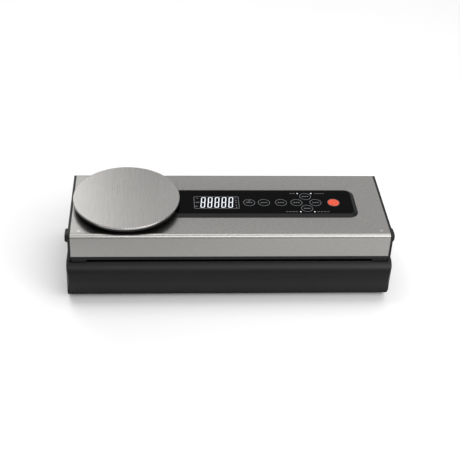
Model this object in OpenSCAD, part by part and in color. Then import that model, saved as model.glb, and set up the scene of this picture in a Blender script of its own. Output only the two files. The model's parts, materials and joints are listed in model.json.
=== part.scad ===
// Countertop vacuum bag sealer with a built-in round kitchen scale.
// Millimetres. Origin: centre of the footprint at the table. +X right, +Y back, +Z up.

/* [Body] */
// Length of the body between its two end faces
body_w = 390; // [376:1:404]
// Depth of the lid from front face to back face
body_d = 131; // [129:1:133]
// Height of the lid's top above the table
lid_top = 98; // [97:0.5:99]
// Thickness of the lid at its front
lid_h = 35.6; // [35.2:0.1:36.2]
// Thickness of each plastic end cap
cap_t = 3; // [2.5:0.5:3.5]
// Height of the plastic lip under the steel front
lip_h = 4.5; // [3.5:0.5:5]

/* [Steel cover] */
// Sheet thickness of the cover
steel_t = 0.8; // [0.6:0.1:1]
// Outer radius of the folds along front and back
fold_r = 5.5; // [4:0.5:7]

/* [Base] */
// How far the base's nose stands in front of the lid
chin = 9; // [7:0.5:10]
// Radius of the gently curved front of the nose
nose_r = 51; // [48:1:56]
// Radius of the rounded upper front edge of the nose
nose_top_r = 17; // [15:1:18]
// Radius of the rounded lower front edge of the nose
nose_low_r = 16; // [14:1:18]
// How far each end of the base stands out past the lid
base_over = 2.5; // [2:0.5:4]
// Distance of the back of the bag trough behind the lid's front face
trough_back = 14; // [13:0.5:15]
// Half length of the bag trough
trough_half = 173.5; // [165:0.5:174]
// Depth of the bag trough below the deck
trough_depth = 4.5; // [3.5:0.5:5]
// Radius of the gently bulged ends
end_bulge_r = 300; // [250:10:400]
// Thickness of the rubber feet
foot_h = 2; // [1.5:0.5:2.5]

/* [Scale] */
// Position of the platform along the lid
plate_x = -126.6; // [-128:0.2:-126]
// Radius of the round platform
plate_r = 65.5; // [65:0.5:66]
// Height of the platform's edge, steel skirt and black band together
plate_t = 6; // [5.5:0.5:6]
// Height of the steel edge, above the carrier's black band
plate_skirt = 2.2; // [1.8:0.2:2.6]
// Height of the platform's top above the lid
plate_lift = 11; // [10.5:0.5:12]
// Radius of the spigot under the platform
spigot_r = 6; // [5:0.5:7]

/* [Control panel] */
// Right end of the panel
panel_x1 = 159.5; // [158:0.5:161]
// Left end of the panel, below the platform
panel_x0 = -73; // [-74:1:-72]
// Half depth of the panel
panel_y = 29.4; // [29:0.1:30]
// Width of the sloped frame around the glass
frame_w = 5; // [4.5:0.5:5.5]
// Height of the panel above the lid
panel_h = 2.6; // [2.2:0.2:3]
// Radius of the panel's outer corners
panel_r = 12; // [11:0.5:13]
// Radius of the start key
start_r = 7; // [6.8:0.1:7.4]
// Height of one display digit
digit_h = 21.8; // [20:0.1:22.5]

/* [Latch] */
// How far each release button stands out
button_out = 4; // [4:0.5:6]
// Length of a release button
button_w = 17.5; // [15:0.5:18]
// Height of a release button
button_h = 11.5; // [11:0.5:12.5]
// Running clearance round the hinge pins
hinge_gap = 0.05; // [0.02:0.01:0.1]

/* [Hidden] */
$fn = 96;
xo = body_w / 2;
xs = xo - cap_t;
xb = xo + base_over;
ly = body_d / 2;
zt = lid_top;
zb = lid_top - lid_h;
z_steel = zb + lip_h;
z_frame = zt - steel_t;
deck_z = zb - 3.5;
ledge_z = zb - 5.5;
ledge_y = ly - 16.5;
seam_z = zb - 15.5;
seat_z = seam_z - 2.5;
nose_crest = zb - 3;
front_y = -ly - chin;
back_y = ly + chin - 1.6;
nose_cy = front_y + nose_r;
nose_cz = nose_crest - 20.4;
top_z = nose_crest - nose_top_r;
top_y = nose_cy - sqrt(pow(nose_r - nose_top_r, 2) - pow(nose_cz - top_z, 2));
low_z = foot_h + nose_low_r;
low_y = nose_cy - sqrt(pow(nose_r - nose_low_r, 2) - pow(nose_cz - low_z, 2));
join_top = nose_cz + (top_z - nose_cz) * nose_r / (nose_r - nose_top_r);
join_low = nose_cz + (low_z - nose_cz) * nose_r / (nose_r - nose_low_r);
lip_y = -ly + 1.2;
neck_y = -ly + trough_back;
trough_z = deck_z - trough_depth;
block_z = zb - 0.9;
wall = 3;
deck_low = deck_z - 5.5;
bulge_x = xb - end_bulge_r;
bulge_z = 22;
liner_z0 = zb + 2;
liner_z1 = liner_z0 + 2.4;
hinge_y = ly - 7;
hinge_z = zb + 4;
hinge_x = 137;
hinge_pin_r = 2;
plate_top = zt + plate_lift;
plate_low = plate_top - plate_t;
skirt_z = plate_top - plate_skirt;
glass_top = zt + panel_h - 0.2;
glass_low = glass_top - 2.5;
bar_y = -ly + 24;
key_y = -1.1;
start_x = 131.2;
light_x = 96.5;
light_dx = 8.7;
light_y = -0.9;
light_dy = 19.4;
window_x0 = -43.6;
window_x1 = 12.7;
window_y0 = -14;
window_y1 = 12;
digit_x = -32;
digit_step = 8.62;
digit_w = 5.6;
digit_bar = 1.15;
digit_lean = 0.09;
pivot_x = xo - 12.5;
pivot_z = zt - 6;
latch_y = -ly + 16;
button_z = zt - 11;
gasket_x = 171;
gasket_y0 = -32;
gasket_y1 = 37;
gasket_w = 6;
gasket_r = 14;
tray_x0 = -158;
tray_x1 = 128;
tray_y0 = -18;
tray_y1 = 24;
port_x = 150;
port_y = 10;
inlet_x = -148;
inlet_z = 21;
post_x = 170;
post_front = -26;
post_back = 54;
cover_x = 185;
cover_y0 = -32;
cover_y1 = ly - 1;
lid_post_x = 165;
lid_post_front = -54;
lid_post_back = 46;

// Box given by its limits
module span(x0, x1, y0, y1, z0, z1) {
    translate([x0, y0, z0])
        cube([x1 - x0, y1 - y0, z1 - z0]);
}

// Cylinder along X
module rod_x(x0, x1, y, z, r) {
    translate([x0, y, z])
        rotate([0, 90, 0])
            cylinder(h = x1 - x0, r = r);
}

// Cylinder along Y
module rod_y(x, y0, y1, z, r) {
    translate([x, y0, z])
        rotate([-90, 0, 0])
            cylinder(h = y1 - y0, r = r);
}

// Cylinder along Z
module rod_z(x, y, z0, z1, r) {
    translate([x, y, z0])
        cylinder(h = z1 - z0, r = r);
}

// Block with rounded corners in plan
module plan_block(x0, x1, y0, y1, z0, z1, r) {
    span(x0 + r, x1 - r, y0, y1, z0, z1);
    span(x0, x1, y0 + r, y1 - r, z0, z1);
    for (x = [x0 + r, x1 - r])
        for (y = [y0 + r, y1 - r])
            rod_z(x, y, z0, z1, r);
}

// Block with rounded corners seen from the end
module end_block(x0, x1, y0, y1, z0, z1, r) {
    span(x0, x1, y0 + r, y1 - r, z0, z1);
    span(x0, x1, y0, y1, z0 + r, z1 - r);
    for (y = [y0 + r, y1 - r])
        for (z = [z0 + r, z1 - r])
            rod_x(x0, x1, y, z, r);
}

// Rounded block whose sides slope inwards towards the top
module slope_block(x0, x1, y0, y1, z0, h, r, inset) {
    for (x = [x0 + r, x1 - r])
        for (y = [y0 + r, y1 - r])
            translate([x, y, z0])
                cylinder(h = h, r1 = r, r2 = r - inset);
    translate([x0 + r, 0, z0])
        rotate([90, 0, 90])
            linear_extrude(x1 - x0 - 2 * r)
                polygon([[y0, 0], [y1, 0], [y1 - inset, h], [y0 + inset, h]]);
    translate([0, y1 - r, z0])
        rotate([90, 0, 0])
            linear_extrude(y1 - y0 - 2 * r)
                polygon([[x0, 0], [x1, 0], [x1 - inset, h], [x0 + inset, h]]);
}

// Outline of the lid with both long top edges rounded, set in by g
module lid_solid(x0, x1, g, z0) {
    span(x0, x1, -ly + g, ly - g, z0, zt - fold_r);
    span(x0, x1, -ly + fold_r, ly - fold_r, z0, zt - g);
    for (y = [-ly + fold_r, ly - fold_r])
        rod_x(x0, x1, y, zt - fold_r, fold_r - g);
}

// Closed loop of a gasket
module gasket_loop(z0, z1, grow) {
    difference() {
        plan_block(-gasket_x - grow, gasket_x + grow, gasket_y0 - grow, gasket_y1 + grow,
                   z0, z1, gasket_r + grow);
        plan_block(-gasket_x + gasket_w + grow, gasket_x - gasket_w - grow,
                   gasket_y0 + gasket_w + grow, gasket_y1 - gasket_w - grow,
                   z0 - 1, z1 + 1, gasket_r - gasket_w - grow);
    }
}

// Nose and body of the base up to z1, set in by the wall thickness
module base_body(inset, z0, z1) {
    intersection() {
        rod_x(-xb, xb, nose_cy, nose_cz, nose_r - inset);
        span(-xb, xb, front_y - 1, nose_cy, join_low, join_top);
    }
    intersection() {
        union() {
            rod_x(-xb, xb, low_y, low_z, nose_low_r - inset);
            rod_x(-xb, xb, top_y, top_z, nose_top_r - inset);
            span(-xb, xb, top_y, nose_cy, join_low, nose_crest);
            span(-xb, xb, low_y, nose_cy, foot_h, join_low + 1);
        }
        span(-xb - 1, xb + 1, front_y - 1, nose_cy, z0, z1);
    }
    span(-xb, xb, nose_cy - 0.1, back_y - inset, z0, z1);
}

// Ends of the base, bulged outwards by a large radius
module base_ends(shrink) {
    span(-bulge_x, bulge_x, -90, 90, -5, deck_z + 5);
    for (s = [-1, 1])
        rod_y(s * bulge_x, -90, 90, bulge_z, end_bulge_r - shrink);
}

// Everything of the base inside its bulged ends and its rounded plan
module base_limits(z0, z1) {
    intersection() {
        base_ends(0);
        plan_block(-xb, xb, front_y - 1, back_y, z0, z1, 7);
    }
}

// Block of a latch housing, grown by g
module housing_block(s, g) {
    span(s > 0 ? trough_half - g : -xb + 6 - g, s > 0 ? xb - 6 + g : -trough_half + g,
         lip_y + 0.4 - g, latch_y + 9 + g, seam_z, block_z + g);
}

// Space inside the walls of the base, without the seats of the latch housings
module base_cavity() {
    difference() {
        intersection() {
            union() {
                base_body(wall, foot_h + 2.5, trough_z - 2.5);
                span(-xb, xb, neck_y + 2.5, back_y - wall, seat_z, seam_z + 1);
            }
            base_ends(wall);
            span(-xb + wall + 1, xb - wall - 1, front_y, back_y - wall, 0, deck_z);
        }
        for (s = [-1, 1])
            span(s * 184 - 13, s * 184 + 13, front_y, latch_y + 10, seat_z, deck_z);
    }
}

// Walls and nose of the base, with the bag trough behind the nose's lip
module base_shell() {
    color([0.05, 0.05, 0.055]) {
        difference() {
            intersection() {
                union() {
                    difference() {
                        base_body(0, foot_h, deck_z);
                        span(-xb - 1, xb + 1, back_y - 8, back_y + 1, foot_h - 1, foot_h + 8);
                    }
                    rod_x(-xb, xb, back_y - 8, foot_h + 8, 8);
                }
                base_limits(-5, deck_z);
            }
            base_cavity();
            // place of the deck plate
            span(-xb - 1, xb + 1, neck_y - 0.05, back_y + 1, seam_z, deck_z + 1);
            span(-trough_half, trough_half, lip_y + 0.4, neck_y + 1, trough_z, deck_z + 1);
            for (s = [-1, 1])
                housing_block(s, 0.1);
            // opening closed by the bottom cover
            plan_block(-cover_x, cover_x, cover_y0, cover_y1, foot_h - 1, foot_h + 2.6, 5);
            // opening of the power inlet
            span(inlet_x - 11, inlet_x + 11, back_y - 8, back_y + 1, inlet_z - 9, inlet_z + 9);
        }
        // bead along the lip of the trough
        rod_x(-trough_half + 0.5, trough_half - 0.5, lip_y, nose_crest - 1.7, 0.6);
    }
}

// Top of the base with the pocket of the sealing bar and the gasket groove
module deck_plate() {
    color([0.05, 0.05, 0.055])
    difference() {
        intersection() {
            union() {
                span(-xb, xb, neck_y, ledge_y, seam_z, deck_z);
                span(-xb, xb, neck_y, back_y, seam_z, ledge_z);
            }
            base_limits(seam_z, deck_z);
        }
        for (s = [-1, 1])
            housing_block(s, 0.1);
        // hollow underside
        intersection() {
            span(-xb + wall + 1, xb - wall - 1, neck_y + 2.5, back_y - wall, seam_z - 1, deck_low);
            base_ends(wall);
            difference() {
                span(-xb, xb, neck_y, back_y, 0, deck_z);
                for (s = [-1, 1])
                    span(s * 185 - 14.5, s * 185 + 14.5, neck_y - 1, latch_y + 12, 0, deck_z);
            }
        }
        // pocket of the sealing bar
        span(-trough_half + 1, trough_half - 1, bar_y - 5, bar_y + 5, deck_z - 4.5, deck_z + 1);
        gasket_loop(deck_z - 3, deck_z + 1, 0.1);
        // opening of the drip tray and the hole of the suction port
        plan_block(tray_x0, tray_x1, tray_y0, tray_y1, seam_z - 1, deck_z + 1, 8);
        rod_z(port_x, port_y, seam_z - 1, deck_z + 1, 5.2);
    }
}

// Blocks at both ends of the trough with the slots the latch hooks drop into
module latch_housings() {
    color([0.05, 0.05, 0.055])
    difference() {
        for (s = [-1, 1])
            housing_block(s, 0);
        for (s = [-1, 1]) {
            span(s * pivot_x - (s > 0 ? 7 : 5.5), s * pivot_x + (s > 0 ? 5.5 : 7),
                 latch_y - 7, latch_y + 6, seam_z + 1, block_z + 1);
            span(s * (pivot_x + 5.5) - 2, s * (pivot_x + 5.5) + 2, latch_y - 5, latch_y + 5,
                 deck_z - 7.4, deck_z - 5.6);
        }
    }
}

// Standoffs that carry the deck and take the screws of the bottom cover
module cover_posts() {
    color([0.2, 0.2, 0.21])
    difference() {
        for (x = [-post_x, 0, post_x])
            for (y = [post_front, post_back])
                rod_z(x, y, foot_h + 2.4, deck_low, 4);
        for (x = [-post_x, 0, post_x])
            for (y = [post_front, post_back])
                rod_z(x, y, foot_h, 20, 1.3);
    }
}

module bottom_cover() {
    color([0.07, 0.07, 0.075])
    difference() {
        plan_block(-cover_x + 0.3, cover_x - 0.3, cover_y0 + 0.3, cover_y1 - 0.3,
                   foot_h, foot_h + 2.4, 4.7);
        for (x = [-post_x, 0, post_x])
            for (y = [post_front, post_back]) {
                rod_z(x, y, foot_h - 1, foot_h + 5, 1.7);
                rod_z(x, y, foot_h - 1, foot_h + 1.4, 3.3);
            }
        // vent slots under the pump and under the transformer
        for (i = [0:6]) {
            span(66 + i * 9, 70 + i * 9, -8, 28, foot_h - 1, foot_h + 4);
            span(-152 + i * 8, -148.5 + i * 8, -8, 24, foot_h - 1, foot_h + 4);
        }
    }
}

module rubber_feet() {
    color([0.1, 0.1, 0.1])
    for (s = [-1, 1]) {
        plan_block(s * 168.5 - 14.5, s * 168.5 + 14.5, -ly + 18, -ly + 29, 0, foot_h, 5);
        plan_block(s * 148 - 14.5, s * 148 + 14.5, ly - 19, ly - 8, 0, foot_h, 5);
    }
}

module bottom_screws() {
    color([0.6, 0.6, 0.62])
    for (x = [-post_x, 0, post_x])
        for (y = [post_front, post_back])
            difference() {
                union() {
                    rod_z(x, y, foot_h + 0.1, foot_h + 1.4, 3);
                    rod_z(x, y, foot_h + 1, foot_h + 13, 1.25);
                }
                for (a = [0, 90])
                    translate([x, y, foot_h])
                        rotate([0, 0, a])
                            cube([3, 0.7, 1.4], center = true);
            }
}

module bar_carrier() {
    color([0.16, 0.12, 0.09])
    span(-trough_half + 1.2, trough_half - 1.2, bar_y - 4.9, bar_y + 4.9,
         deck_z - 4.5, deck_z + 0.5);
}

module heating_strip() {
    color([0.6, 0.58, 0.55])
    span(-trough_half + 4, trough_half - 4, bar_y - 1.5, bar_y + 1.5, deck_z + 0.5, deck_z + 0.8);
}

module barrier_tape() {
    color([0.45, 0.3, 0.2])
    difference() {
        span(-trough_half + 2, trough_half - 2, bar_y - 4.7, bar_y + 4.7, deck_z + 0.5, deck_z + 1.1);
        span(-trough_half + 3.8, trough_half - 3.8, bar_y - 1.6, bar_y + 1.6,
             deck_z + 0.4, deck_z + 0.85);
    }
}

module lower_gasket() {
    color([0.12, 0.12, 0.13])
    gasket_loop(deck_z - 3, deck_z + 2.5, -0.1);
}

module drip_tray() {
    color([0.1, 0.1, 0.11])
    difference() {
        union() {
            plan_block(tray_x0 + 0.4, tray_x1 - 0.4, tray_y0 + 0.4, tray_y1 - 0.4,
                       deck_z - 11, deck_z + 0.3, 7.6);
            plan_block(tray_x0 - 1.5, tray_x1 + 1.5, tray_y0 - 1.5, tray_y1 + 1.5,
                       deck_z + 0.05, deck_z + 1, 9.5);
        }
        plan_block(tray_x0 + 2, tray_x1 - 2, tray_y0 + 2, tray_y1 - 2, deck_z - 9.6, deck_z + 3, 6);
    }
}

module suction_port() {
    color([0.14, 0.14, 0.15])
    difference() {
        union() {
            rod_z(port_x, port_y, deck_z - 22, deck_z + 1.6, 2.6);
            rod_z(port_x, port_y, deck_z - 14, deck_z + 0.2, 5);
            rod_z(port_x, port_y, deck_z + 0.1, deck_z + 1, 7.5);
        }
        rod_z(port_x, port_y, deck_z - 23, deck_z + 3, 1.6);
    }
}

module hinge_brackets() {
    color([0.55, 0.55, 0.57])
    for (s = [-1, 1])
        difference() {
            union() {
                span(s * hinge_x - 11.5, s * hinge_x + 11.5, ledge_y + 1.5, ly - 1,
                     ledge_z, ledge_z + 1.5);
                for (e = [-9, 9]) {
                    span(s * hinge_x + e - 1.8, s * hinge_x + e + 1.8, hinge_y - 5, hinge_y + 5,
                         ledge_z, hinge_z);
                    rod_x(s * hinge_x + e - 1.8, s * hinge_x + e + 1.8, hinge_y, hinge_z, 5);
                }
            }
            rod_x(s * hinge_x - 15, s * hinge_x + 15, hinge_y, hinge_z, hinge_pin_r + hinge_gap);
        }
}

module hinge_pins() {
    color([0.75, 0.75, 0.77])
    for (s = [-1, 1])
        rod_x(s * hinge_x - 12, s * hinge_x + 12, hinge_y, hinge_z, hinge_pin_r);
}

module latch_catches() {
    color([0.6, 0.6, 0.62])
    for (s = [-1, 1])
        span(s * (pivot_x + 5.4) - 1.8, s * (pivot_x + 5.4) + 1.8, latch_y - 4.8, latch_y + 4.8,
             deck_z - 7.3, deck_z - 5.7);
}

module pump_motor() {
    color([0.6, 0.6, 0.61])
    union() {
        rod_x(56, 102, port_y, 22, 14);
        rod_x(52, 56, port_y, 22, 5);
        for (y = [-6, 6])
            span(50, 56, port_y + y - 0.4, port_y + y + 0.4, 20, 24);
    }
}

module pump_head() {
    color([0.2, 0.2, 0.21])
    difference() {
        union() {
            end_block(102, 118, port_y - 17, port_y + 17, 5.5, 38.5, 5);
            end_block(118, 138, port_y - 14, port_y + 14, 8.5, 35.5, 7);
            rod_x(138, 143, port_y, 24, 2.2);
        }
        rod_x(130, 144, port_y, 24, 1.2);
    }
}

module pump_cradle() {
    color([0.1, 0.1, 0.1])
    for (x = [62, 86])
        difference() {
            span(x, x + 8, port_y - 14, port_y + 14, foot_h + 2.4, 19);
            rod_x(x - 1, x + 9, port_y, 22, 14.05);
        }
}

module air_hose() {
    color([0.7, 0.7, 0.68])
    difference() {
        union() {
            rod_z(port_x, port_y, 31, deck_z - 15, 4);
            translate([port_x - 7, port_y, 31])
                rotate([90, 0, 0])
                    rotate([0, 0, -90])
                        rotate_extrude(angle = 90)
                            translate([7, 0])
                                circle(r = 4);
            rod_x(138.2, port_x - 7, port_y, 24, 4);
        }
        rod_z(port_x, port_y, 31, deck_z - 14, 2.65);
        rod_x(137, port_x - 7, port_y, 24, 2.25);
    }
}

module vent_valve() {
    color([0.75, 0.7, 0.5])
    union() {
        span(60, 84, -38, -26, foot_h + 2.5, 20);
        rod_x(84, 90, -32, 12, 2.2);
        rod_z(66, -32, 20, 24, 2);
        rod_z(78, -32, 20, 24, 2);
    }
}

module main_board() {
    color([0.1, 0.3, 0.15])
    difference() {
        union() {
            span(-62, 42, -10, 42, 12, 13.6);
            for (x = [-56, 36])
                for (y = [-5, 37])
                    rod_z(x, y, foot_h + 2.4, 12, 3);
        }
        for (x = [-56, 36])
            for (y = [-5, 37])
                rod_z(x, y, 6, 15, 1.2);
    }
}

module board_parts() {
    color([0.15, 0.15, 0.17])
    union() {
        span(-50, -31, 20, 35, 13.6, 28);
        span(-25, -21, -4, 32, 13.6, 34);
        span(-14, 4, 0, 12, 13.6, 16);
        rod_z(14, 26, 13.6, 33, 7);
        rod_z(30, 24, 13.6, 30, 5);
        rod_z(-44, 6, 13.6, 24, 5);
        span(14, 32, -4, 4, 13.6, 22);
    }
}

module transformer_core() {
    color([0.4, 0.4, 0.42])
    difference() {
        span(-151, -101, -12, 28, foot_h + 2.4, 38);
        span(-141, -133, -13, 29, 12, 31);
        span(-119, -111, -13, 29, 12, 31);
    }
}

module transformer_coil() {
    color([0.6, 0.3, 0.12])
    difference() {
        span(-140.8, -111.2, -20, 36, 12.2, 30.8);
        span(-133.1, -118.9, -12.1, 28.1, 11, 32);
    }
}

module power_inlet() {
    color([0.06, 0.06, 0.06])
    difference() {
        union() {
            span(inlet_x - 10.8, inlet_x + 10.8, back_y - 16, back_y, inlet_z - 8.8, inlet_z + 8.8);
            translate([inlet_x, back_y, inlet_z])
                rotate([-90, 0, 0])
                    plan_block(-13, 13, -11, 11, 0, 1.6, 3);
        }
        span(inlet_x - 4.3, inlet_x + 4.3, back_y - 12, back_y + 3, inlet_z - 5.1, inlet_z + 5.1);
        for (s = [-1, 1])
            rod_y(inlet_x + s * 4.3, back_y - 12, back_y + 3, inlet_z, 5.1);
        for (s = [-1, 1])
            rod_y(inlet_x + s * 4.3, back_y - 17, back_y - 11, inlet_z, 1.2);
    }
}

module inlet_pins() {
    color([0.8, 0.7, 0.4])
    for (s = [-1, 1])
        rod_y(inlet_x + s * 4.3, back_y - 20, back_y - 2, inlet_z, 1.2);
}

module lid_sensor() {
    color([0.1, 0.3, 0.15])
    span(-181, -173, 4, 16, deck_low - 2.6, deck_low);
}

module lid_frame() {
    color([0.05, 0.05, 0.055])
    difference() {
        union() {
            difference() {
                lid_solid(-xs, xs, steel_t, zb);
                span(-xs + 2, xs - 2, -ly + 2.8, ly - 2.8, zb - 1, z_frame - 2);
            }
            // front and back lips flush with the steel, end lips and ledges of the liner
            difference() {
                span(-xs, xs, -ly, ly, zb, z_steel);
                span(-xs + 5.5, xs - 5.5, -ly + 6, ly - 12.5, zb - 1, z_steel + 1);
                span(-xs + 5.5, xs - 5.5, ly - 13, ly - 6, zb - 1, z_steel + 1);
            }
        }
        // openings for the panel and the scale
        plan_block(panel_x0 + 2.4, panel_x1 - 2.4, -panel_y + 2.3, panel_y - 2.3,
                   z_frame - 3, zt, 6.6);
        rod_z(plate_x, 0, z_frame - 3, zt, 33);
        // windows of the release buttons
        for (s = [-1, 1])
            end_block(s > 0 ? xs - 3 : -xs - 1, s > 0 ? xs + 1 : -xs + 3,
                      latch_y - button_w / 2 - 0.3, latch_y + button_w / 2 + 0.3,
                      button_z - button_h / 2 - 0.3, button_z + button_h / 2 + 0.3, 4.3);
        // notches for the hinges
        for (s = [-1, 1])
            span(s * hinge_x - 14, s * hinge_x + 14, hinge_y - 6, ly + 1, zb - 1, hinge_z + 7);
    }
}

// Standoffs under the lid's top that take the screws of the liner
module lid_posts() {
    color([0.2, 0.2, 0.21])
    difference() {
        for (x = [-lid_post_x, 0, lid_post_x])
            for (y = [lid_post_front, lid_post_back])
                rod_z(x, y, liner_z1, z_frame - 2, 3.5);
        for (x = [-lid_post_x, 0, lid_post_x])
            for (y = [lid_post_front, lid_post_back])
                rod_z(x, y, zb, zt - 14, 1.2);
    }
}

module steel_cover() {
    color([0.62, 0.61, 0.59])
    difference() {
        lid_solid(-xs, xs, 0, z_steel);
        lid_solid(-xs - 1, xs + 1, steel_t, z_steel - 1);
        plan_block(panel_x0 + 2.4, panel_x1 - 2.4, -panel_y + 2.3, panel_y - 2.3,
                   z_frame - 1, zt + 1, 6.6);
        rod_z(plate_x, 0, z_frame - 1, zt + 1, 32);
        for (s = [-1, 1])
            span(s * hinge_x - 14, s * hinge_x + 14, ly - 6, ly + 1, z_steel - 1, hinge_z + 7);
    }
}

module end_cap(s) {
    x0 = s > 0 ? xs : -xo;
    x1 = s > 0 ? xo : -xs;
    difference() {
        union() {
            lid_solid(x0, x1, 0, zb + 3);
            span(x0, x1, -ly + 3, ly - 3, zb, zb + 4);
            for (y = [-ly + 3, ly - 3])
                rod_x(x0, x1, y, zb + 3, 3);
        }
        end_block(x0 - 1, x1 + 1, latch_y - button_w / 2 - 0.3, latch_y + button_w / 2 + 0.3,
                  button_z - button_h / 2 - 0.3, button_z + button_h / 2 + 0.3, 4.3);
    }
}

module end_cap_left() {
    color([0.05, 0.05, 0.055])
    end_cap(-1);
}

module end_cap_right() {
    color([0.05, 0.05, 0.055])
    end_cap(1);
}

module lid_liner() {
    color([0.08, 0.08, 0.085])
    difference() {
        span(-xs + 5.8, xs - 5.8, -ly + 6.3, ly - 12.8, liner_z0, liner_z1);
        for (s = [-1, 1])
            span(s * (pivot_x + 2) - 8, s * (pivot_x + 2) + 8, latch_y - 8, latch_y + 8,
                 liner_z0 - 1, liner_z1 + 1);
        for (x = [-lid_post_x, 0, lid_post_x])
            for (y = [lid_post_front, lid_post_back])
                rod_z(x, y, liner_z0 - 1, liner_z1 + 1, 1.7);
    }
}

module upper_gasket() {
    color([0.12, 0.12, 0.13])
    gasket_loop(zb - 0.6, liner_z0, -0.1);
}

module press_strip() {
    color([0.35, 0.35, 0.36])
    span(-trough_half + 1, trough_half - 1, bar_y - 4.5, bar_y + 4.5, zb - 1.6, liner_z0);
}

module hinge_knuckles() {
    color([0.5, 0.5, 0.52])
    for (s = [-1, 1])
        difference() {
            union() {
                rod_x(s * hinge_x - 7, s * hinge_x + 7, hinge_y, hinge_z, 4.6);
                span(s * hinge_x - 7, s * hinge_x + 7, hinge_y - 2, ly - 2.8,
                     hinge_z + 1, hinge_z + 16);
            }
            rod_x(s * hinge_x - 8, s * hinge_x + 8, hinge_y, hinge_z, hinge_pin_r + hinge_gap);
        }
}

module lid_magnet() {
    color([0.7, 0.7, 0.72])
    rod_z(-177, 10, liner_z1, liner_z1 + 3, 4);
}

module lid_screws() {
    color([0.65, 0.65, 0.67])
    for (x = [-lid_post_x, 0, lid_post_x])
        for (y = [lid_post_front, lid_post_back])
            difference() {
                union() {
                    rod_z(x, y, liner_z0 - 1.3, liner_z0, 3);
                    rod_z(x, y, liner_z0 - 0.5, zt - 15, 1.15);
                }
                for (a = [0, 90])
                    translate([x, y, liner_z0 - 1.3])
                        rotate([0, 0, a])
                            cube([3, 0.7, 1.2], center = true);
            }
}

module panel_frame() {
    color([0.1, 0.1, 0.105])
    difference() {
        union() {
            slope_block(panel_x0, panel_x1, -panel_y, panel_y, zt, panel_h, panel_r, frame_w - 0.4);
            plan_block(panel_x0 + 2.6, panel_x1 - 2.6, -panel_y + 2.5, panel_y - 2.5,
                       zt - 7, zt + 0.5, 6.4);
        }
        plan_block(panel_x0 + frame_w, panel_x1 - frame_w, -panel_y + frame_w,
                   panel_y - frame_w, glass_low, zt + 5, panel_r - frame_w);
        plan_block(panel_x0 + frame_w + 1.5, panel_x1 - frame_w - 1.5, -panel_y + frame_w + 1.5,
                   panel_y - frame_w - 1.5, zt - 8, zt + 5, 4);
    }
}

module panel_glass() {
    color([0.02, 0.02, 0.022])
    difference() {
        plan_block(panel_x0 + frame_w + 0.1, panel_x1 - frame_w - 0.1,
                   -panel_y + frame_w + 0.1, panel_y - frame_w - 0.1,
                   glass_low, glass_top, panel_r - frame_w - 0.1);
        plan_block(window_x0, window_x1, window_y0, window_y1, glass_top - 0.5, glass_top + 1, 1.2);
        rod_z(start_x, key_y, glass_top - 0.8, glass_top + 1, start_r + 0.1);
        for (x = [-light_dx, light_dx])
            for (y = [-light_dy, light_dy])
                rod_z(light_x + x, light_y + y, glass_low - 1, glass_top + 1, 0.95);
    }
}

module display_window() {
    color([0.03, 0.03, 0.035])
    plan_block(window_x0 + 0.1, window_x1 - 0.1, window_y0 + 0.1, window_y1 - 0.1,
               glass_top - 0.5, glass_top - 0.15, 1.1);
}

// Point moved sideways with its height, so the digits lean
function lean(p) = [p[0] + digit_lean * p[1], p[1]];

// Level bar of a digit from its left end, pointed at both ends
module level_bar(x, y, l, w) {
    polygon([for (p = [[0, 0], [w / 2, w / 2], [l - w / 2, w / 2], [l, 0],
                       [l - w / 2, -w / 2], [w / 2, -w / 2]]) lean([x + p[0], y + p[1]])]);
}

// Upright bar of a digit from its lower end
module upright_bar(x, y, l, w) {
    polygon([for (p = [[0, 0], [w / 2, w / 2], [w / 2, l - w / 2], [0, l],
                       [-w / 2, l - w / 2], [-w / 2, w / 2]]) lean([x + p[0], y + p[1]])]);
}

module digit_eight(h, w, b) {
    for (y = [b / 2, h / 2, h - b / 2])
        level_bar(b / 2 + 0.12, y, w - b - 0.24, b);
    for (x = [b / 2, w - b / 2])
        for (y = [b / 2 + 0.12, h / 2 + 0.12])
            upright_bar(x, y, h / 2 - b / 2 - 0.24, b);
}

module display_digits() {
    color([0.95, 0.97, 1])
    for (i = [0:4])
        translate([digit_x + i * digit_step - digit_w / 2 - digit_lean * digit_h / 2,
                   -0.7 - digit_h / 2, glass_top - 0.15])
            linear_extrude(0.15)
                digit_eight(digit_h, digit_w, digit_bar);
}

module start_key() {
    color([0.92, 0.26, 0.09])
    rod_z(start_x, key_y, glass_top - 0.8, glass_top + 0.1, start_r);
}

module indicator_lights() {
    color([0.95, 0.97, 1])
    for (x = [-light_dx, light_dx])
        for (y = [-light_dy, light_dy])
            rod_z(light_x + x, light_y + y, glass_low, glass_top, 0.9);
}

module touch_board() {
    color([0.1, 0.3, 0.15])
    union() {
        span(panel_x0 + 8, panel_x1 - 8, -panel_y + 8, panel_y - 8, zt - 4, zt - 2.4);
        span(window_x0 + 3, window_x1 - 3, window_y0 + 2, window_y1 - 2, zt - 2.4, glass_low);
        span(-10, 6, -6, 6, zt - 6, zt - 4);
        span(60, 74, -5, 5, zt - 6, zt - 4);
    }
}

module scale_ring() {
    color([0.04, 0.04, 0.045])
    translate([plate_x, 0, zt])
        rotate_extrude()
            polygon([[34, 0], [50, 0], [49, 2.6], [47.5, 3], [36, 3], [34, 2.4]]);
}

module load_cell() {
    color([0.75, 0.75, 0.76])
    difference() {
        span(plate_x - 40, plate_x + 40, -6.35, 6.35, liner_z1 + 2.1, liner_z1 + 14.8);
        for (x = [-9, 9])
            rod_y(plate_x + x, -8, 8, liner_z1 + 8.45, 4.2);
        span(plate_x - 9, plate_x + 9, -8, 8, liner_z1 + 7.2, liner_z1 + 9.7);
        for (x = [-35, -25, 25, 35])
            rod_z(plate_x + x, 0, liner_z1 + 1, liner_z1 + 16, 2);
    }
}

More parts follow.
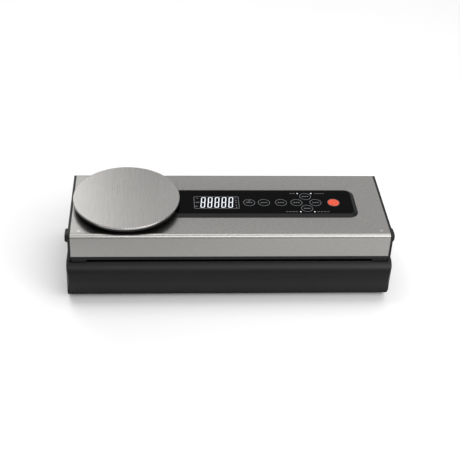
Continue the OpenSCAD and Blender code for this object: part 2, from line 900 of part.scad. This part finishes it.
module cell_foot() {
    color([0.5, 0.5, 0.52])
    difference() {
        span(plate_x - 40, plate_x - 18, -9, 9, liner_z1, liner_z1 + 2.1);
        for (x = [-35, -25])
            rod_z(plate_x + x, 0, liner_z1 - 1, liner_z1 + 3, 2);
    }
}

module cell_screws() {
    color([0.7, 0.7, 0.72])
    union() {
        for (x = [-35, -25]) {
            rod_z(plate_x + x, 0, liner_z1 + 0.2, liner_z1 + 15, 1.95);
            rod_z(plate_x + x, 0, liner_z1 + 14.8, liner_z1 + 16.6, 3.5);
        }
        for (x = [25, 35])
            rod_z(plate_x + x, 0, liner_z1 + 3, liner_z1 + 19.6, 1.95);
    }
}

module platform_socket() {
    color([0.5, 0.5, 0.52])
    difference() {
        union() {
            rod_z(plate_x, 0, zt - 7.8, zt - 5.4, 24);
            rod_z(plate_x, 0, zt - 5.6, zt - 1, spigot_r + 4);
            span(plate_x + 20, plate_x + 40, -6.35, 6.35, liner_z1 + 14.8, zt - 5.4);
        }
        rod_z(plate_x, 0, zt - 7.2, zt, spigot_r + hinge_gap);
        for (x = [25, 35])
            rod_z(plate_x + x, 0, liner_z1 + 14, zt, 2);
    }
}

module platform_carrier() {
    color([0.04, 0.04, 0.045])
    translate([plate_x, 0, 0])
        rotate_extrude()
            polygon([[0, zt - 6.9], [spigot_r - 0.5, zt - 6.9], [spigot_r, zt - 6.4],
                     [spigot_r, zt - 0.95], [spigot_r + 4, zt - 0.95], [spigot_r + 4, zt + 4.4],
                     [plate_r - 12, zt + 4.4], [plate_r - 2, plate_low],
                     [plate_r - 0.4, plate_low + 1], [plate_r - 0.4, skirt_z - 0.05],
                     [plate_r - 0.9, skirt_z - 0.05], [plate_r - 0.9, plate_top - 0.85],
                     [0, plate_top - 0.85]]);
}

module platform_plate() {
    color([0.66, 0.65, 0.63])
    translate([plate_x, 0, 0])
        rotate_extrude()
            difference() {
                union() {
                    translate([0, skirt_z])
                        square([plate_r, plate_skirt - 1]);
                    translate([0, skirt_z])
                        square([plate_r - 1, plate_skirt]);
                    translate([plate_r - 1, plate_top - 1])
                        circle(r = 1);
                }
                translate([-1, skirt_z - 1])
                    square([plate_r + 0.2, plate_skirt + 0.2]);
            }
}

// Release button of the right end, at rest
module release_button() {
    y0 = latch_y - button_w / 2;
    z0 = button_z - button_h / 2;
    union() {
        end_block(xs - 4.5, xo + button_out - 1.2, y0, y0 + button_w, z0, z0 + button_h, 4);
        end_block(xo, xo + button_out, y0 + 1, y0 + button_w - 1, z0 + 1, z0 + button_h - 1, 3);
        end_block(xs - 4.5, xs - 2.3, y0 - 2, y0 + button_w + 2, z0 - 2, z0 + button_h + 1.5, 3);
        span(pivot_x + 4.5, xs - 2.3, latch_y - 3, latch_y + 3, pivot_z - 19.5, z0);
        span(pivot_x + 2.3, pivot_x + 5, latch_y - 3, latch_y + 3, pivot_z - 19.5, pivot_z - 17.5);
    }
}

module release_button_left() {
    color([0.07, 0.07, 0.075])
    mirror([1, 0, 0])
        release_button();
}

module release_button_right() {
    color([0.07, 0.07, 0.075])
    release_button();
}

// Latch hook of the right end, hanging from its pivot
module latch_hook() {
    union() {
        rod_y(pivot_x, latch_y - 5, latch_y + 5, pivot_z, 1.6);
        span(pivot_x - 2, pivot_x + 2, latch_y - 4, latch_y + 4, deck_z - 5.6, pivot_z);
        translate([0, latch_y + 4, 0])
            rotate([90, 0, 0])
                linear_extrude(8)
                    polygon([[pivot_x + 1, deck_z - 4], [pivot_x + 5, deck_z - 4],
                             [pivot_x + 5, deck_z - 4.4], [pivot_x + 3.8, deck_z - 5.6],
                             [pivot_x + 1, deck_z - 5.6]]);
    }
}

module latch_hook_left() {
    color([0.6, 0.6, 0.62])
    mirror([1, 0, 0])
        latch_hook();
}

module latch_hook_right() {
    color([0.6, 0.6, 0.62])
    latch_hook();
}

base_shell();
deck_plate();
latch_housings();
cover_posts();
bottom_cover();
rubber_feet();
bottom_screws();
bar_carrier();
heating_strip();
barrier_tape();
lower_gasket();
drip_tray();
suction_port();
hinge_brackets();
hinge_pins();
latch_catches();
pump_motor();
pump_head();
pump_cradle();
air_hose();
vent_valve();
main_board();
board_parts();
transformer_core();
transformer_coil();
power_inlet();
inlet_pins();
lid_sensor();
lid_frame();
lid_posts();
steel_cover();
end_cap_left();
end_cap_right();
lid_liner();
upper_gasket();
press_strip();
hinge_knuckles();
lid_magnet();
lid_screws();
panel_frame();
panel_glass();
display_window();
display_digits();
start_key();
indicator_lights();
touch_board();
scale_ring();
load_cell();
cell_foot();
cell_screws();
platform_socket();
platform_carrier();
platform_plate();
release_button_left();
release_button_right();
latch_hook_left();
latch_hook_right();
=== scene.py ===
import json
import math
import bpy
from mathutils import Matrix, Vector


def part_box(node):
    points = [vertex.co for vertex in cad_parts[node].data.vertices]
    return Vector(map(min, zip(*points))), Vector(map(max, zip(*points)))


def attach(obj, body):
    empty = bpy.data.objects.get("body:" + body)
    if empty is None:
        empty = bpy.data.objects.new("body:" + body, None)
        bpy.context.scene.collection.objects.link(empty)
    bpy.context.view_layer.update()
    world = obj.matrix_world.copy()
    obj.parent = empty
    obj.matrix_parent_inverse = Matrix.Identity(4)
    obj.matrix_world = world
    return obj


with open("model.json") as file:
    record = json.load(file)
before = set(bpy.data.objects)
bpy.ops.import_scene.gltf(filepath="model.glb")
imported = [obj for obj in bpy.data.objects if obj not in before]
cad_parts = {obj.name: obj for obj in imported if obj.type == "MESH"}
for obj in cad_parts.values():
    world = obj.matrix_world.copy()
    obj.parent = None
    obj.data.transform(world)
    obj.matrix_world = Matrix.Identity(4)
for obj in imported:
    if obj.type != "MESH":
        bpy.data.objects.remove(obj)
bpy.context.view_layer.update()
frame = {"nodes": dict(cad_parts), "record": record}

nodes = frame["nodes"]
MM = 0.001


# ---------------------------------------------------------------- materials

class Graph:
    """A material's node tree with short calls for the nodes used here."""

    def __init__(self, name):
        self.mat = bpy.data.materials.new(name)
        self.mat.use_nodes = True
        self.tree = self.mat.node_tree
        self.shader = self.tree.nodes["Principled BSDF"]
        self.coords = self.add("ShaderNodeTexCoord").outputs["Object"]

    def add(self, kind, **settings):
        node = self.tree.nodes.new(kind)
        for key, value in settings.items():
            setattr(node, key, value)
        return node

    def link(self, source, target):
        self.tree.links.new(source, target)

    def scaled(self, scale, turn=(0, 0, 0)):
        """Object coordinates in metres, times scale."""
        node = self.add("ShaderNodeMapping")
        node.inputs["Scale"].default_value = scale
        node.inputs["Rotation"].default_value = turn
        self.link(self.coords, node.inputs["Vector"])
        return node.outputs["Vector"]

    def noise(self, scale, detail=2.0, rough=0.5, turn=(0, 0, 0)):
        """Noise whose features are about 1/scale metres wide along each axis."""
        node = self.add("ShaderNodeTexNoise")
        node.inputs["Scale"].default_value = 1.0
        node.inputs["Detail"].default_value = detail
        node.inputs["Roughness"].default_value = rough
        self.link(self.scaled(scale, turn), node.inputs["Vector"])
        return node.outputs["Fac"]

    def voronoi(self, scale):
        node = self.add("ShaderNodeTexVoronoi")
        node.inputs["Scale"].default_value = 1.0
        self.link(self.scaled((scale,) * 3), node.inputs["Vector"])
        return node.outputs["Distance"]

    def remap(self, value, low, high, out_low, out_high):
        node = self.add("ShaderNodeMapRange")
        for name, number in zip(("From Min", "From Max", "To Min", "To Max"),
                                (low, high, out_low, out_high)):
            node.inputs[name].default_value = number
        self.link(value, node.inputs["Value"])
        return node.outputs["Result"]

    def math(self, operation, a, b):
        node = self.add("ShaderNodeMath", operation=operation)
        for socket, value in zip(node.inputs, (a, b)):
            if isinstance(value, (int, float)):
                socket.default_value = value
            else:
                self.link(value, socket)
        return node.outputs[0]

    def mix(self, factor, a, b):
        """Colour between a and b by factor; each of them a colour or an output."""
        node = self.add("ShaderNodeMix", data_type="RGBA")
        self.link(factor, node.inputs["Factor"])
        for name, value in (("A", a), ("B", b)):
            socket = [s for s in node.inputs if s.name == name and s.type == "RGBA"][0]
            if isinstance(value, tuple):
                socket.default_value = (*value, 1.0)
            else:
                self.link(value, socket)
        return [s for s in node.outputs if s.type == "RGBA"][0]

    def bump(self, height, distance, strength=1.0, soften=0.0):
        """Surface relief; soften rounds the look of sharp edges by that many metres."""
        node = self.add("ShaderNodeBump")
        node.inputs["Distance"].default_value = distance
        node.inputs["Strength"].default_value = strength
        self.link(height, node.inputs["Height"])
        if soften:
            edge = self.add("ShaderNodeBevel", samples=4)
            edge.inputs["Radius"].default_value = soften
            self.link(edge.outputs["Normal"], node.inputs["Normal"])
        self.link(node.outputs["Normal"], self.shader.inputs["Normal"])

    def facing(self, axis):
        """The surface normal's part along one axis of the object, from -1 to 1."""
        parts = self.add("ShaderNodeSeparateXYZ")
        self.link(self.add("ShaderNodeTexCoord").outputs["Normal"], parts.inputs["Vector"])
        return parts.outputs[axis]

    def edge_wear_and_highlight(self, low=0.52, high=0.62):
        """1 on sharp outer edges, 0 elsewhere: it lightens worn edges on plastic, and on steel it also
        paints a highlight.
        """
        return self.remap(self.add("ShaderNodeNewGeometry").outputs["Pointiness"],
                          low, high, 0.0, 1.0)

    def set(self, **values):
        for key, value in values.items():
            self.shader.inputs[key.replace("_", " ")].default_value = value

    def colour(self, output):
        self.link(output, self.shader.inputs["Base Color"])

    def roughness(self, output):
        self.link(output, self.shader.inputs["Roughness"])


def scaled_colour(colour, factor):
    return tuple(min(1.0, c * factor) for c in colour)


def brushed(name, colour, along, rough, grain=0.00006, spread=0.05, streak=2600.0, length=45.0,
            painted_front_shade=None):
    """Sheet steel with a fine grain along one axis; streak and length are its counts per metre.

    The last argument holds two places along X for painted shade on the front face: it is darker,
    with a speckled grain, at the first place and clears towards the second.
    """
    g = Graph(name)
    g.set(Metallic=1.0)
    fine = [streak] * 3
    fine[along] = length
    band_width = 3.2
    broad = [streak / band_width] * 3
    broad[along] = length
    hair = g.noise(tuple(fine), 3.0, 0.65)
    band = g.noise(tuple(broad), 3.0, 0.6)
    cloud = g.noise((9.0, 9.0, 9.0), 2.0)
    tone = g.math("ADD", g.math("MULTIPLY", hair, 0.5), g.math("MULTIPLY", band, 0.5))
    shade = g.mix(g.remap(tone, 0.35, 0.65, 0.0, 1.0),
                  scaled_colour(colour, 1.0 - spread), scaled_colour(colour, 1.0 + spread))
    # painted shade: the front face darker towards its left end, at 0.3 to 0.76 of the colour; the
    # darkening is painted shade, the speckle in it is grain
    if painted_front_shade:
        place = g.add("ShaderNodeSeparateXYZ")
        g.link(g.coords, place.inputs["Vector"])
        painted_front_shade_mask = g.math("MULTIPLY", g.remap(g.facing("Y"), -0.6, -0.95, 0.0, 1.0),
                        g.remap(place.outputs["X"], *painted_front_shade, 1.0, 0.0))
        speck = g.remap(g.noise((850.0,) * 3, 2.0, 0.7), 0.38, 0.62, 0.0, 1.0)
        shade = g.mix(painted_front_shade_mask, shade,
                      g.mix(speck, scaled_colour(colour, 0.3), scaled_colour(colour, 0.76)))
    # sharp outer edges 1.35 times lighter: partly edge wear, partly a painted highlight, as along the
    # cover's front fold
    g.colour(g.mix(g.edge_wear_and_highlight(0.56, 0.7), shade, scaled_colour(colour, 1.35)))
    g.roughness(g.remap(g.math("ADD", g.math("MULTIPLY", hair, 0.7),
                               g.math("MULTIPLY", cloud, 0.3)), 0.3, 0.7, rough - 0.05, rough + 0.05))
    g.bump(g.math("ADD", g.math("MULTIPLY", hair, 0.7), g.math("MULTIPLY", band, 0.3)), grain)
    return g.mat


def moulded(name, colour, rough, grain=0.00004, size=2200.0, worn=1.9, level=0.5, soften=0.0,
            matt_below=0.0):
    """Moulded plastic with a fine spark-eroded texture, a little uneven and paler on its edges.

    soften rounds the look of its edges by that many metres; matt_below is the roughness added to
    faces that look down.
    """
    g = Graph(name)
    g.set(Specular_IOR_Level=level)
    speck = g.noise((size,) * 3, 2.0, 0.6)
    cloud = g.noise((28.0, 28.0, 28.0), 3.0)
    body = g.mix(g.remap(cloud, 0.35, 0.65, 0.0, 1.0),
                 scaled_colour(colour, 0.88), scaled_colour(colour, 1.12))
    g.colour(g.mix(g.edge_wear_and_highlight(), body, scaled_colour(colour, worn)))
    sheen = g.remap(g.math("ADD", g.math("MULTIPLY", speck, 0.5),
                           g.math("MULTIPLY", cloud, 0.5)), 0.35, 0.65, rough - 0.05, rough + 0.06)
    if matt_below:
        down = g.remap(g.facing("Z"), -0.1, -0.6, 0.0, matt_below)
        sheen = g.math("ADD", sheen, down)
    g.roughness(sheen)
    g.bump(speck, grain, soften=soften)
    return g.mat


def gloss(name, colour, rough, level=0.5, ripple=0.000004):
    """Smooth glossy surface with faint handling marks in its gloss."""
    g = Graph(name)
    g.set(Specular_IOR_Level=level)
    smear = g.noise((35.0, 60.0, 35.0), 4.0, 0.7)
    body = g.mix(g.remap(smear, 0.35, 0.65, 0.0, 1.0),
                 scaled_colour(colour, 0.9), scaled_colour(colour, 1.1))
    g.colour(body)
    g.roughness(g.remap(smear, 0.4, 0.75, rough, rough + 0.06))
    g.bump(g.noise((140.0,) * 3, 1.0), ripple)
    return g.mat


def lit(name, colour, strength, edge=0.75):
    """Lit print or segment, a little uneven over its area."""
    g = Graph(name)
    uneven = g.remap(g.noise((260.0,) * 3, 1.0), 0.3, 0.7, 0.0, 1.0)
    shade = g.mix(uneven, scaled_colour(colour, edge), colour)
    g.colour(shade)
    g.link(shade, g.shader.inputs["Emission Color"])
    g.set(Emission_Strength=strength, Roughness=0.4)
    return g.mat


def soft_rubber(name, colour, rough=0.75, pore=900.0, depth=0.0001):
    g = Graph(name)
    g.set(Specular_IOR_Level=0.35)
    cells = g.voronoi(pore)
    cloud = g.noise((40.0,) * 3, 2.0)
    g.colour(g.mix(g.remap(cells, 0.1, 0.7, 0.0, 1.0),
                   scaled_colour(colour, 0.7), scaled_colour(colour, 1.25)))
    g.roughness(g.remap(cloud, 0.35, 0.65, rough - 0.08, rough + 0.08))
    g.bump(cells, depth)
    return g.mat


def woven_tape(name, colour):
    """Coated glass cloth: a fine plain weave under a satin coat."""
    g = Graph(name)
    g.set(Specular_IOR_Level=0.45)
    waves = []
    for axis in ("X", "Y"):
        wave = g.add("ShaderNodeTexWave", bands_direction=axis)
        wave.inputs["Scale"].default_value = 260.0
        g.link(g.coords, wave.inputs["Vector"])
        waves.append(wave.outputs["Fac"])
    weave = g.math("MULTIPLY", waves[0], waves[1])
    g.colour(g.mix(weave, scaled_colour(colour, 0.7), scaled_colour(colour, 1.2)))
    g.roughness(g.remap(weave, 0.0, 1.0, 0.5, 0.35))
    g.bump(weave, 0.00008)
    return g.mat


def board(name, colour):
    """Circuit board: lacquer over fine tracks."""
    g = Graph(name)
    tracks = g.add("ShaderNodeTexBrick")
    tracks.inputs["Scale"].default_value = 160.0
    tracks.inputs["Mortar Size"].default_value = 0.03
    g.link(g.coords, tracks.inputs["Vector"])
    g.colour(g.mix(tracks.outputs["Fac"], colour, scaled_colour(colour, 1.9)))
    g.roughness(g.remap(g.noise((90.0,) * 3), 0.3, 0.7, 0.28, 0.42))
    g.bump(tracks.outputs["Fac"], 0.00005)
    return g.mat


def winding(name, colour):
    """Enamelled wire wound side by side."""
    g = Graph(name)
    g.set(Metallic=0.85)
    wave = g.add("ShaderNodeTexWave", bands_direction="Z")
    wave.inputs["Scale"].default_value = 420.0
    wave.inputs["Distortion"].default_value = 0.6
    g.link(g.coords, wave.inputs["Vector"])
    g.colour(g.mix(wave.outputs["Fac"], scaled_colour(colour, 0.45), scaled_colour(colour, 1.2)))
    g.roughness(g.remap(g.noise((70.0,) * 3), 0.3, 0.7, 0.25, 0.4))
    g.bump(wave.outputs["Fac"], 0.0003)
    return g.mat


X_AXIS, Y_AXIS, Z_AXIS = 0, 1, 2
STEEL = (0.248, 0.243, 0.235)

materials = {
    # the cover's front face gets painted shade towards its left end
    "brushed_steel": brushed("steel_cover_grain", STEEL, X_AXIS, 0.3, 0.00003, 0.17, 1500.0, 260.0,
                             painted_front_shade=(-0.21, 0.09)),
    "plate_steel": brushed("steel_plate_grain", (0.315, 0.308, 0.299), Y_AXIS, 0.28, 0.00002, 0.035,
                           2200.0, 5.0),
    "black_plastic": moulded("black_moulded", (0.0042, 0.0042, 0.0044), 0.36, level=0.18, soften=0.0007,
                             matt_below=0.64),
    "black_plastic_fine": moulded("black_satin", (0.004, 0.004, 0.0042), 0.36, 0.00002, 3000.0,
                                  level=0.2, soften=0.0006),
    "black_gloss": moulded("panel_frame_satin", (0.007, 0.007, 0.0073), 0.32, 0.00001, 3000.0,
                           level=0.12, soften=0.0005),
    "black_glass": gloss("panel_glass_black", (0.0010, 0.0010, 0.0012), 0.06, 0.02),
    "display_black": gloss("display_film", (0.0018, 0.0018, 0.0022), 0.14, 0.02),
    "display_white": lit("segment_white", (0.70, 0.73, 0.78), 0.42),
    "orange_key": lit("start_key_orange", (0.58, 0.05, 0.009), 0.16),
    "rubber": soft_rubber("foot_rubber", (0.02, 0.02, 0.02), 0.8),
    "foam_rubber": soft_rubber("gasket_foam", (0.035, 0.035, 0.037), 0.85, 1400.0, 0.00015),
    "silicone_grey": soft_rubber("press_silicone", (0.11, 0.11, 0.115), 0.55, 2200.0, 0.00003),
    "clear_silicone": soft_rubber("hose_silicone", (0.55, 0.55, 0.53), 0.45, 2600.0, 0.00002),
    "zinc_steel": brushed("zinc_plate", (0.52, 0.53, 0.55), Z_AXIS, 0.3, 0.00003),
    "heater_steel": brushed("heater_strip", (0.42, 0.40, 0.38), X_AXIS, 0.35, 0.00002),
    "cell_aluminium": brushed("cell_alloy", (0.62, 0.62, 0.63), X_AXIS, 0.28, 0.00003),
    "core_steel": brushed("core_laminations", (0.2, 0.2, 0.21), Y_AXIS, 0.5, 0.0002),
    "brass": brushed("contact_plate", (0.62, 0.48, 0.22), Y_AXIS, 0.25, 0.00002),
    "copper": winding("copper_winding", (0.5, 0.2, 0.08)),
    "tape": woven_tape("barrier_cloth", (0.16, 0.085, 0.045)),
    "brown_resin": moulded("resin_laminate", (0.06, 0.035, 0.022), 0.5),
    "grey_plastic": moulded("grey_moulded", (0.09, 0.09, 0.095), 0.45),
    "cream_plastic": moulded("cream_moulded", (0.5, 0.45, 0.3), 0.45, worn=1.2),
    "board_green": board("circuit_board", (0.015, 0.07, 0.03)),
    "print_grey": lit("key_print", (0.14, 0.144, 0.152), 0.1),
    "print_dim": lit("label_print", (0.10, 0.103, 0.11), 0.08),
    "print_faint": brushed("etched_mark", (0.33, 0.325, 0.315), X_AXIS, 0.36, 0.00002),
}
SMOOTH_ANGLE = math.radians(28)

slot_of = {part["node"]: part["material_slot"] for part in frame["record"]["subparts"]}
for name, obj in nodes.items():
    obj.data.materials.clear()
    obj.data.materials.append(materials[slot_of[name]])
    for face in obj.data.polygons:
        face.use_smooth = True
    sharp = obj.modifiers.new("smooth_by_angle", "EDGE_SPLIT")
    sharp.split_angle = SMOOTH_ANGLE


# ---------------------------------------------------------------- small printed marks

def flat_piece(name, outlines, z, body, material, thickness=0.05 * MM):
    """Thin raised print: each outline is a closed list of (x, y) in millimetres."""
    verts, faces = [], []
    for outline in outlines:
        start, count = len(verts), len(outline)
        verts += [(x * MM, y * MM, z + thickness) for x, y in outline]
        verts += [(x * MM, y * MM, z) for x, y in outline]
        faces.append(list(range(start, start + count)))
        faces.append(list(range(start + 2 * count - 1, start + count - 1, -1)))
        for i in range(count):
            j = (i + 1) % count
            faces.append([start + i, start + count + i, start + count + j, start + j])
    mesh = bpy.data.meshes.new(name)
    mesh.from_pydata(verts, [], faces)
    mesh.materials.append(materials[material])
    obj = bpy.data.objects.new(name, mesh)
    bpy.context.collection.objects.link(obj)
    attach(obj, body)
    return obj


def arc(cx, cy, rx, ry, a0=0.0, a1=360.0, steps=48):
    """Points along an arc, angles in degrees."""
    return [(cx + rx * math.cos(math.radians(a0 + (a1 - a0) * i / steps)),
             cy + ry * math.sin(math.radians(a0 + (a1 - a0) * i / steps))) for i in range(steps + 1)]


def ring(cx, cy, rx, ry, width, steps=48):
    """An elliptical ring as quads."""
    outer = arc(cx, cy, rx, ry, steps=steps)
    inner = arc(cx, cy, rx - width, ry - width, steps=steps)
    return [[outer[i], outer[i + 1], inner[i + 1], inner[i]] for i in range(steps)]


def bar(x0, x1, y0, y1):
    return [(x0, y0), (x1, y0), (x1, y1), (x0, y1)]


def rounded_frame(x0, x1, y0, y1, r, width, steps=6):
    """A thin rounded frame as quads."""
    def loop(grow):
        pts = []
        for cx, cy, a in ((x1 - r, y1 - r, 0), (x0 + r, y1 - r, 90), (x0 + r, y0 + r, 180),
                          (x1 - r, y0 + r, 270)):
            pts += arc(cx, cy, r + grow, r + grow, a, a + 90, steps)
        return pts
    outer, inner = loop(0.0), loop(-width)
    count = len(outer)
    return [[outer[i], outer[(i + 1) % count], inner[(i + 1) % count], inner[i]] for i in range(count)]


# Places and sizes of the prints are in millimetres
glass_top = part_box("panel_glass")[1][2]
glass_mark = glass_top + 0.01 * MM
start_low, start_high = [[c / MM for c in corner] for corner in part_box("start_key")]
start_x = (start_low[0] + start_high[0]) / 2
start_r = (start_high[0] - start_low[0]) / 2
key_y = (start_low[1] + start_high[1]) / 2

# touch keys: a row of three, then four in a diamond; each has a ring and a line of dashes
key_rx, key_ry = 7.3, 6.9
key_line = 0.5
key_centres = [(25.4, key_y), (43.8, key_y), (65.1, key_y), (84.6, key_y), (108.5, key_y),
               (97.0, key_y + 13.0), (96.6, key_y - 12.2)]
dash, dash_pitch, dash_rise = 2.1, 2.9, 0.55
rings, symbols = [], []
for x, y in key_centres:
    rings += ring(x, y, key_rx, key_ry, key_line)
    for step in range(3):
        left = x - 4.0 + step * dash_pitch
        symbols.append(bar(left, left + dash, y - dash_rise, y + dash_rise))
first_x, first_y = key_centres[0]
symbols += ring(first_x, first_y + 3.4, 1.5, 1.6, 0.4, 16)
flat_piece("key_outlines", rings, glass_mark, "lid", "print_grey")
flat_piece("key_symbols", symbols, glass_mark, "lid", "print_grey")

# a row of plain dashes beside each light: where it starts and ends along X, and its Y
label_rows = [(78.0, 84.8, 18.4), (109.3, 121.8, 18.4), (69.4, 84.1, -20.3), (108.5, 123.3, -20.3)]
label_gap, label_rise = 0.9, 0.4
labels = []
for x0, x1, y in label_rows:
    count = round((x1 - x0) / 3.4)
    pitch = (x1 - x0 + label_gap) / count
    for i in range(count):
        left = x0 + i * pitch
        labels.append(bar(left, left + pitch - label_gap, y - label_rise, y + label_rise))
flat_piece("light_labels", labels, glass_mark, "lid", "print_dim")

# a thin rounded line round the display, with small marks at both ends of the digits
outline = rounded_frame(-43.3, 12.6, -13.8, 11.8, 1.6, 0.5)
flat_piece("display_outline", outline, glass_mark, "lid", "print_grey")
mark_x, mark_half = 9.05, 0.7
side_marks = [bar(-41.2, -36.8, -1.1, -0.1), bar(-42.0, -39.2, -9.5, -8.5), bar(-39.7, -38.4, 7.3, 8.5)]
side_marks += [bar(mark_x - 0.75, mark_x + 0.75, y - mark_half, y + mark_half)
               for y in (9.0, 3.5, -0.9, -6.5, -11.2)]
flat_piece("display_marks", side_marks, glass_mark, "lid", "print_grey")

rim_r = start_r + 0.55
flat_piece("start_key_rim", ring(start_x, key_y, rim_r, rim_r, 0.3), glass_mark, "lid", "print_grey")

# small lock symbols near the two front corners of the steel, closed at the left and open at the right
lid_low, lid_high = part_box("steel_cover")
lock_x, lock_in = 182.0, 10.5
lock_half, lock_low, lock_up = 1.9, 2.2, 0.6
for side, lean, name in ((-1, 0.0, "lock_mark_left"), (1, 0.9, "lock_mark_right")):
    x, y = side * lock_x, lid_low[1] / MM + lock_in
    outer, inner = [arc(x + lean, y + lock_up, r, r * 1.3, 0, 180, 12) for r in (1.4, 0.9)]
    shapes = [bar(x - lock_half, x + lock_half, y - lock_low, y + lock_up)]
    shapes += [[outer[i], outer[i + 1], inner[i + 1], inner[i]] for i in range(12)]
    flat_piece(name, shapes, lid_high[2] - 0.02 * MM, "lid", "print_faint", 0.04 * MM)


# ---------------------------------------------------------------- floor, light, camera

floor_mesh = bpy.data.meshes.new("floor")
floor_half = 6.0
floor_corners = [(sx * floor_half, sy * floor_half, 0) for sx, sy in ((-1, -1), (1, -1), (1, 1), (-1, 1))]
floor_mesh.from_pydata(floor_corners, [], [(0, 1, 2, 3)])
floor = bpy.data.objects.new("floor", floor_mesh)
bpy.context.collection.objects.link(floor)
paper = Graph("floor_paper")
paper.colour(paper.mix(paper.noise((3.0, 3.0, 3.0)), (0.79, 0.79, 0.79), (0.81, 0.81, 0.81)))
paper.set(Roughness=0.9, Specular_IOR_Level=0.1)
floor_mesh.materials.append(paper.mat)

scene = bpy.context.scene
scene.view_settings.view_transform = "Standard"
world = bpy.data.worlds.new("studio")
scene.world = world
world.use_nodes = True
sky = world.node_tree.nodes["Background"]
sky.inputs["Color"].default_value = (1.0, 1.0, 1.0, 1.0)
sky.inputs["Strength"].default_value = 0.5


def softbox(name, place, target, width, height, power):
    """White rectangular light turned to its target; places and sizes in metres, power in watts."""
    light = bpy.data.lights.new(name, "AREA")
    light.shape = "RECTANGLE"
    light.size, light.size_y = width, height
    light.energy = power
    obj = bpy.data.objects.new(name, light)
    obj.location = place
    aim = Vector(target) - Vector(place)
    obj.rotation_euler = aim.to_track_quat("-Z", "Y").to_euler()
    obj.visible_camera = False
    bpy.context.collection.objects.link(obj)
    return obj


softbox("overhead", (0.0, 0.15, 1.95), (0.0, 0.05, 0.0), 2.6, 1.0, 18.0)
softbox("front_wide", (0.7, -1.5, 1.82), (0.05, -0.05, 0.07), 2.6, 1.4, 34.0)
softbox("back_left", (-1.05, 2.1, 1.7), (-0.1, 0.0, 0.1), 1.5, 1.3, 17.0)
softbox("back_right", (0.6, 2.1, 1.75), (0.1, 0.0, 0.1), 1.4, 1.3, 3.5)
softbox("front_right", (0.62, -0.62, 0.5), (0.15, -0.25, 0.0), 0.5, 0.4, 2.0)


def aim_camera(place_mm, yaw, pitch, roll, lens_mm, shift):
    """Camera on a 36 mm wide sensor: yaw to the right, pitch down and roll, in degrees."""
    yaw, pitch, roll = (math.radians(a) for a in (yaw, pitch, roll))
    level_right = Vector((math.cos(yaw), -math.sin(yaw), 0.0))
    ahead = Vector((math.sin(yaw), math.cos(yaw), 0.0))
    up = Vector((0.0, 0.0, 1.0))
    forward = ahead * math.cos(pitch) - up * math.sin(pitch)
    level_up = up * math.cos(pitch) + ahead * math.sin(pitch)
    right = level_right * math.cos(roll) + level_up * math.sin(roll)
    top = level_up * math.cos(roll) - level_right * math.sin(roll)
    data = bpy.data.cameras.new("camera")
    data.sensor_width = 36.0
    data.lens = lens_mm
    data.shift_x, data.shift_y = shift
    data.clip_end = 50.0
    cam = bpy.data.objects.new("camera", data)
    cam.matrix_world = Matrix((
        (right.x, top.x, -forward.x, place_mm[0] * MM),
        (right.y, top.y, -forward.y, place_mm[1] * MM),
        (right.z, top.z, -forward.z, place_mm[2] * MM),
        (0.0, 0.0, 0.0, 1.0)))
    bpy.context.collection.objects.link(cam)
    scene.camera = cam


aim_camera((-92.9, -1015.1, 830.6), 4.16, 32.013, 2.451, 78.754, (0.03, -0.2))
